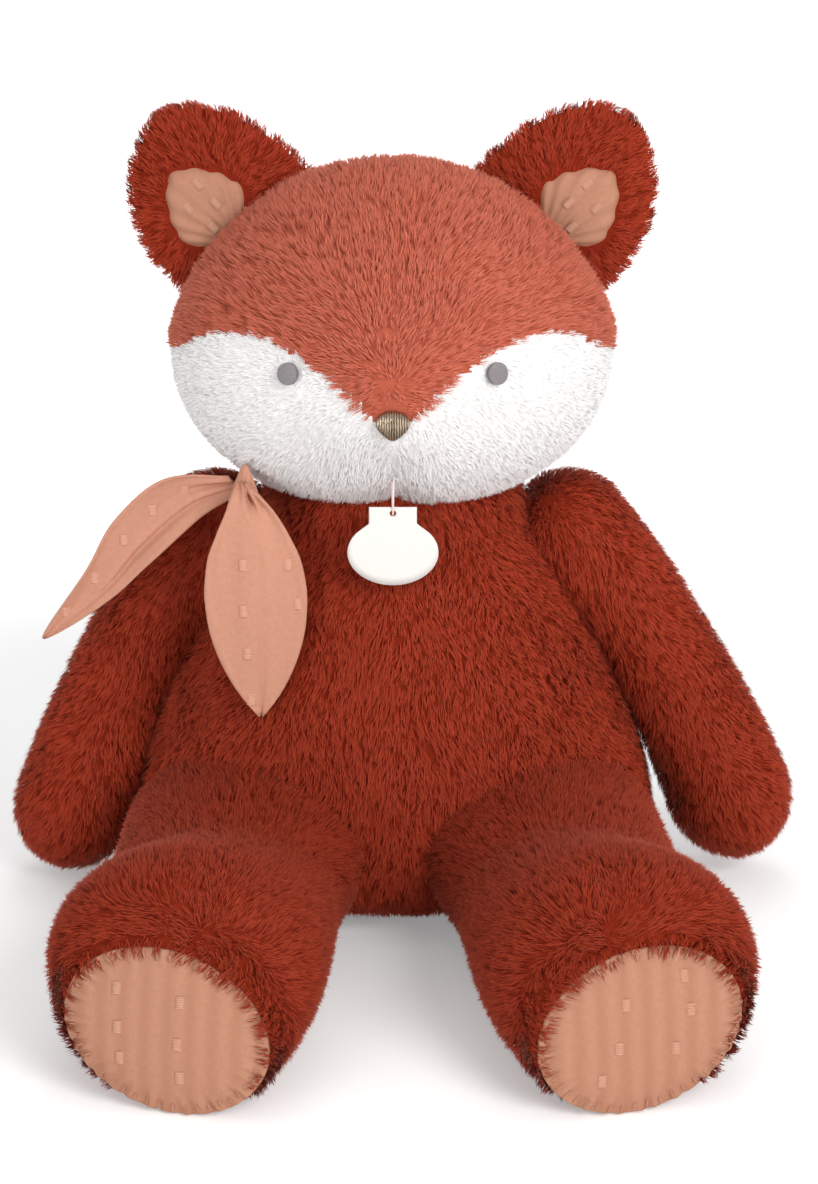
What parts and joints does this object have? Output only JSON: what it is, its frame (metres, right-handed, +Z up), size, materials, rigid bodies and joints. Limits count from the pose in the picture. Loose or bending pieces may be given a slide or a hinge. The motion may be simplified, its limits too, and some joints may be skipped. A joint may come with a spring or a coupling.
{
  "type": "plush fox",
  "caption": "Seated plush fox with jointed head, ears, arms, legs and tail, a knotted neck scarf and a blank hang tag.",
  "frame": {"origin": "centre of the flat seat face under the torso", "axes": "+Z up, -Y to the front, where the fox faces and its feet point; left and right in names are as seen from the front, so left pieces lie at -X"},
  "size_m": [0.37, 0.46, 0.3686],
  "materials": {
    "rust_fur": "short plush pile",
    "white_fur": "short plush pile",
    "stuffing": "matt fibre",
    "grey_stitching": "embroidered",
    "satin_stitching": "metallic satin stitch",
    "peach_gauze": "matt double gauze",
    "sole_gauze": "matt, corded bands and tufts",
    "ivory_card": "matt card, left blank",
    "thread": "matt twisted thread"
  },
  "bodies": {
    "torso": {"torso_skin": "rust_fur", "body_filling": "stuffing", "scarf_band": "peach_gauze", "scarf_knot": "peach_gauze"},
    "neck": {"neck_filling": "stuffing"},
    "head": {"head_cap": "rust_fur", "cheek_left": "white_fur", "cheek_right": "white_fur", "head_filling": "stuffing", "eye_left": "grey_stitching", "eye_right": "grey_stitching", "nose": "satin_stitching"},
    "ear_left": {"ear_left": "rust_fur", "ear_lining_left": "peach_gauze"},
    "ear_right": {"ear_right": "rust_fur", "ear_lining_right": "peach_gauze"},
    "arm_left": {"arm_left": "rust_fur", "arm_filling_left": "stuffing"},
    "arm_right": {"arm_right": "rust_fur", "arm_filling_right": "stuffing"},
    "leg_left": {"leg_left": "rust_fur", "leg_filling_left": "stuffing", "sole_left": "sole_gauze"},
    "leg_right": {"leg_right": "rust_fur", "leg_filling_right": "stuffing", "sole_right": "sole_gauze"},
    "tail": {"tail": "rust_fur", "tail_filling": "stuffing", "tail_tip": "white_fur"},
    "scarf_front": {"scarf_tail_front": "peach_gauze"},
    "scarf_side": {"scarf_tail_side": "peach_gauze"},
    "tag": {"tag_card": "ivory_card", "tag_thread": "thread"}
  },
  "joints": [
    {"name": "head_turn", "type": "hinge", "parent": "torso", "child": "neck", "pos_m": [0, 0, 0.172], "axis": [0, 0, 1], "range_deg": [-15, 25], "stiffness_Nm_per_rad": 1.5},
    {"name": "head_nod", "type": "hinge", "parent": "neck", "child": "head", "pos_m": [0, 0, 0.172], "axis": [1, 0, 0], "range_deg": [-20, 6], "stiffness_Nm_per_rad": 3},
    {"name": "ear_left_flex", "type": "hinge", "parent": "head", "child": "ear_left", "pos_m": [-0.0676, 0.006, 0.312], "axis": [0.7071, 0, 0.7071], "range_deg": [-15, 15], "stiffness_Nm_per_rad": 0.05},
    {"name": "ear_right_flex", "type": "hinge", "parent": "head", "child": "ear_right", "pos_m": [0.0676, 0.006, 0.312], "axis": [0.7071, 0, -0.7071], "range_deg": [-15, 15], "stiffness_Nm_per_rad": 0.05},
    {"name": "arm_left_raise", "type": "hinge", "parent": "torso", "child": "arm_left", "pos_m": [-0.08201, 0.003, 0.168], "axis": [0, 1, 0], "range_deg": [0, 75]},
    {"name": "arm_right_raise", "type": "hinge", "parent": "torso", "child": "arm_right", "pos_m": [0.08201, 0.003, 0.168], "axis": [0, -1, 0], "range_deg": [0, 75]},
    {"name": "leg_left_swing", "type": "hinge", "parent": "torso", "child": "leg_left", "pos_m": [-0.064, -0.052, 0.0405], "axis": [-1, 0, 0], "range_deg": [-40, 10], "stiffness_Nm_per_rad": 0.3},
    {"name": "leg_right_swing", "type": "hinge", "parent": "torso", "child": "leg_right", "pos_m": [0.064, -0.052, 0.0405], "axis": [-1, 0, 0], "range_deg": [-40, 10], "stiffness_Nm_per_rad": 0.3},
    {"name": "tail_wag", "type": "hinge", "parent": "torso", "child": "tail", "pos_m": [0, 0.092, 0.034], "axis": [0, 0, 1], "range_deg": [-30, 30], "stiffness_Nm_per_rad": 0.05},
    {"name": "scarf_front_lift", "type": "hinge", "parent": "torso", "child": "scarf_front", "pos_m": [-0.062, -0.0693, 0.2005], "axis": [-1, 0, 0], "range_deg": [0, 60]},
    {"name": "scarf_side_lift", "type": "hinge", "parent": "torso", "child": "scarf_side", "pos_m": [-0.07769, -0.04474, 0.19867], "axis": [0, 1, 0], "range_deg": [0, 60]},
    {"name": "tag_swing", "type": "hinge", "parent": "head", "child": "tag", "pos_m": [0, -0.08125, 0.219], "axis": [-1, 0, 0], "range_deg": [0, 50]}
  ],
  "couplings": [
    {"joint": "scarf_side_lift", "follows": "arm_left_raise", "ratio": 0.8}
  ]
}
